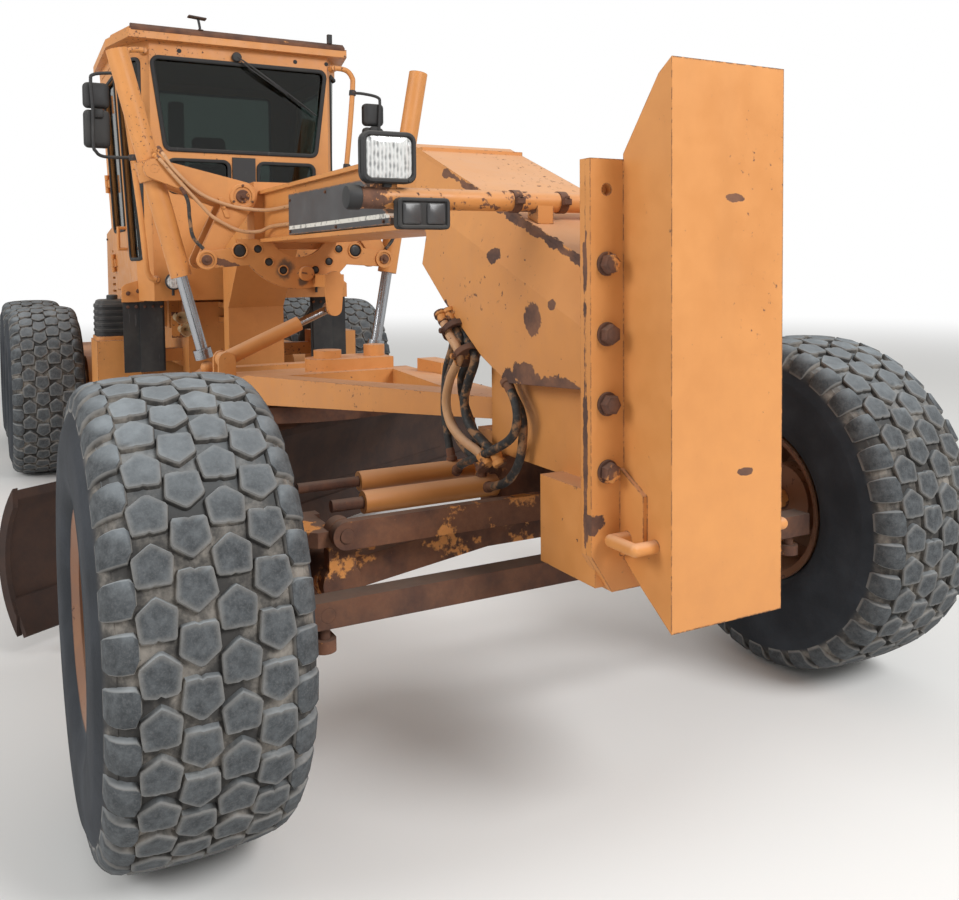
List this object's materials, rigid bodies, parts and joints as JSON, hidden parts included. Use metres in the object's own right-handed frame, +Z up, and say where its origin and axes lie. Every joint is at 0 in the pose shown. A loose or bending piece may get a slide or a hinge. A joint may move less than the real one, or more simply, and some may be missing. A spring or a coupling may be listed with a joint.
{
  "type": "motor grader",
  "caption": "Articulated motor grader with a front push block, tandem drive, leaning front wheels, closed cab and a blade on a turning circle under the arched frame.",
  "frame": {"origin": "on the ground below the middle of the bounding box", "axes": "+X forward, +Y to the machine's left, +Z up"},
  "size_m": [9.392, 3.4942, 3.3996],
  "materials": {
    "paint": "worn semi gloss",
    "steel": "rusty",
    "black": "worn satin",
    "rod": "polished",
    "tyre": "dusty",
    "rubber": "dull",
    "glass": "clear with a green tint",
    "seat": "worn",
    "plastic": "dull"
  },
  "bodies": {
    "rear_frame": {"rear_frame": "paint", "tandems": "paint", "engine_block": "black", "hood": "paint", "stacks": "black", "side_boxes": "paint", "cab_body": "paint", "cab_roof": "paint", "cab_glass": "glass", "seat": "seat", "console": "plastic", "mirrors": "black", "mud_flaps": "rubber"},
    "front_frame": {"front_frame": "paint", "push_block": "paint", "light_bar": "paint", "headlamps": "black", "lift_arms": "paint", "front_axle": "steel", "axle_barrels": "paint"},
    "lean_yoke_right": {"lean_yoke_right": "steel"},
    "lean_yoke_left": {"lean_yoke_left": "steel"},
    "knuckle_right": {"knuckle_right": "steel"},
    "knuckle_left": {"knuckle_left": "steel"},
    "lean_bar": {"lean_bar": "steel"},
    "tie_rod_end": {"tie_rod_end": "steel"},
    "tie_rod": {"tie_rod": "steel"},
    "lean_rod": {"lean_rod": "rod"},
    "steer_rod_right": {"steer_rod_right": "rod"},
    "steer_rod_left": {"steer_rod_left": "rod"},
    "drawbar": {"drawbar": "paint"},
    "blade_circle": {"blade_circle": "steel"},
    "blade_carrier": {"blade_carrier": "steel"},
    "blade": {"blade": "steel"},
    "lift_barrel_right": {"lift_barrel_right": "paint"},
    "lift_barrel_left": {"lift_barrel_left": "paint"},
    "lift_rod_right": {"lift_rod_right": "rod"},
    "lift_rod_left": {"lift_rod_left": "rod"},
    "shift_barrel": {"shift_barrel": "paint"},
    "shift_rod": {"shift_rod": "rod"},
    "wheel_front_right": {"tyre_front_right": "tyre", "rim_front_right": "paint"},
    "wheel_front_left": {"tyre_front_left": "tyre", "rim_front_left": "paint"},
    "wheel_mid_right": {"tyre_mid_right": "tyre", "rim_mid_right": "paint"},
    "wheel_mid_left": {"tyre_mid_left": "tyre", "rim_mid_left": "paint"},
    "wheel_rear_right": {"tyre_rear_right": "tyre", "rim_rear_right": "paint"},
    "wheel_rear_left": {"tyre_rear_left": "tyre", "rim_rear_left": "paint"},
    "door_right": {"door_right": "paint", "door_glass_right": "glass"},
    "door_left": {"door_left": "paint", "door_glass_left": "glass"}
  },
  "joints": [
    {"name": "articulation", "type": "hinge", "parent": "rear_frame", "child": "front_frame", "pos_m": [-0.676, 0, 1.125], "axis": [0, 0, 1], "range_deg": [-20, 20]},
    {"name": "lean_left", "type": "hinge", "parent": "front_frame", "child": "lean_yoke_left", "pos_m": [3.724, 0.8, 0.69], "axis": [1, 0, 0], "range_deg": [-18, 18]},
    {"name": "lean_right", "type": "hinge", "parent": "front_frame", "child": "lean_yoke_right", "pos_m": [3.724, -0.8, 0.69], "axis": [1, 0, 0], "range_deg": [-18, 18]},
    {"name": "lean_bar", "type": "hinge", "parent": "lean_yoke_right", "child": "lean_bar", "pos_m": [3.864, -0.8, 0.855], "axis": [1, 0, 0], "range_deg": [-18, 18]},
    {"name": "lean_rod", "type": "slide", "parent": "front_frame", "child": "lean_rod", "axis": [0, -1, 0], "range_m": [-0.075, 0.075]},
    {"name": "steer_left", "type": "hinge", "parent": "lean_yoke_left", "child": "knuckle_left", "pos_m": [3.724, 0.93, 0.69], "axis": [0, 0, 1], "range_deg": [-47, 47]},
    {"name": "steer_right", "type": "hinge", "parent": "lean_yoke_right", "child": "knuckle_right", "pos_m": [3.724, -0.93, 0.69], "axis": [0, 0, 1], "range_deg": [-47, 47]},
    {"name": "tie_rod_end", "type": "hinge", "parent": "knuckle_right", "child": "tie_rod_end", "pos_m": [4.024, -0.93, 0.69], "axis": [0, 0, 1], "range_deg": [-47, 47]},
    {"name": "tie_rod", "type": "hinge", "parent": "tie_rod_end", "child": "tie_rod", "pos_m": [4.024, -0.93, 0.69], "axis": [1, 0, 0], "range_deg": [-18, 18]},
    {"name": "steer_rod_right", "type": "slide", "parent": "front_frame", "child": "steer_rod_right", "axis": [0, -1, 0], "range_m": [-0.13, 0.13]},
    {"name": "steer_rod_left", "type": "slide", "parent": "front_frame", "child": "steer_rod_left", "axis": [0, 1, 0], "range_m": [-0.13, 0.13]},
    {"name": "wheel_front_right", "type": "hinge", "parent": "knuckle_right", "child": "wheel_front_right", "pos_m": [3.724, -1.3085, 0.69], "axis": [0, 1, 0], "continuous": true},
    {"name": "wheel_front_left", "type": "hinge", "parent": "knuckle_left", "child": "wheel_front_left", "pos_m": [3.724, 1.3085, 0.69], "axis": [0, 1, 0], "continuous": true},
    {"name": "wheel_mid_right", "type": "hinge", "parent": "rear_frame", "child": "wheel_mid_right", "pos_m": [-2.007, -1.3085, 0.69], "axis": [0, 1, 0], "continuous": true},
    {"name": "wheel_mid_left", "type": "hinge", "parent": "rear_frame", "child": "wheel_mid_left", "pos_m": [-2.007, 1.3085, 0.69], "axis": [0, 1, 0], "continuous": true},
    {"name": "wheel_rear_right", "type": "hinge", "parent": "rear_frame", "child": "wheel_rear_right", "pos_m": [-3.663, -1.3085, 0.69], "axis": [0, 1, 0], "continuous": true},
    {"name": "wheel_rear_left", "type": "hinge", "parent": "rear_frame", "child": "wheel_rear_left", "pos_m": [-3.663, 1.3085, 0.69], "axis": [0, 1, 0], "continuous": true},
    {"name": "blade_lift", "type": "hinge", "parent": "front_frame", "child": "drawbar", "pos_m": [3.574, 0, 1.15], "axis": [0, 1, 0], "range_deg": [-10.9, 6.5]},
    {"name": "circle_turn", "type": "hinge", "parent": "drawbar", "child": "blade_circle", "pos_m": [0.724, 0, 0.865], "axis": [0, 0, 1], "continuous": true},
    {"name": "blade_tip", "type": "hinge", "parent": "blade_circle", "child": "blade_carrier", "pos_m": [0.77543, 0.0309, 0.4], "axis": [-0.515, 0.8572, 0], "range_deg": [-5, 40]},
    {"name": "blade_sideshift", "type": "slide", "parent": "blade_carrier", "child": "blade", "axis": [-0.515, 0.8572, 0], "range_m": [-0.346, 0.654]},
    {"name": "lift_barrel_right", "type": "hinge", "parent": "front_frame", "child": "lift_barrel_right", "pos_m": [0.724, -0.85022, 2.26936], "axis": [1, 0, 0], "range_deg": [-6, 6]},
    {"name": "lift_rod_right", "type": "slide", "parent": "lift_barrel_right", "child": "lift_rod_right", "axis": [0, -0.2453, 0.9694], "range_m": [-0.53, 0.32]},
    {"name": "lift_barrel_left", "type": "hinge", "parent": "front_frame", "child": "lift_barrel_left", "pos_m": [0.724, 0.77251, 2.28637], "axis": [1, 0, 0], "range_deg": [-6, 6]},
    {"name": "lift_rod_left", "type": "slide", "parent": "lift_barrel_left", "child": "lift_rod_left", "axis": [0, 0.1822, 0.9833], "range_m": [-0.53, 0.32]},
    {"name": "shift_barrel", "type": "hinge", "parent": "drawbar", "child": "shift_barrel", "pos_m": [1.014, -0.51, 1.145], "axis": [1, 0, 0], "range_deg": [-19, 31]},
    {"name": "shift_rod", "type": "slide", "parent": "shift_barrel", "child": "shift_rod", "axis": [0, 0.9181, 0.3964], "range_m": [-0.14, 0.22]},
    {"name": "door_right", "type": "hinge", "parent": "rear_frame", "child": "door_right", "pos_m": [-1.713, -0.762, 1.45], "axis": [0, 0.0486, -0.9988], "range_deg": [0, 85]},
    {"name": "door_left", "type": "hinge", "parent": "rear_frame", "child": "door_left", "pos_m": [-1.713, 0.762, 1.45], "axis": [0, 0.0486, 0.9988], "range_deg": [0, 85]}
  ],
  "couplings": [
    {"joint": "lean_right", "follows": "lean_left", "ratio": 1},
    {"joint": "lean_bar", "follows": "lean_left", "ratio": -1},
    {"joint": "lean_rod", "follows": "lean_left", "m_per_rad": 0.21},
    {"joint": "steer_right", "follows": "steer_left", "ratio": 1},
    {"joint": "tie_rod_end", "follows": "steer_left", "ratio": -1},
    {"joint": "tie_rod", "follows": "lean_left", "ratio": -0.862},
    {"joint": "steer_rod_right", "follows": "steer_left", "m_per_rad": 0.15},
    {"joint": "steer_rod_left", "follows": "steer_left", "m_per_rad": -0.15},
    {"joint": "lift_barrel_right", "follows": "blade_lift", "ratio": 0.5},
    {"joint": "lift_rod_right", "follows": "blade_lift", "m_per_rad": 2.75},
    {"joint": "lift_barrel_left", "follows": "blade_lift", "ratio": -0.5},
    {"joint": "lift_rod_left", "follows": "blade_lift", "m_per_rad": 2.75},
    {"joint": "shift_barrel", "follows": "blade_lift", "ratio": -2.8},
    {"joint": "shift_rod", "follows": "blade_lift", "m_per_rad": -1.146}
  ]
}
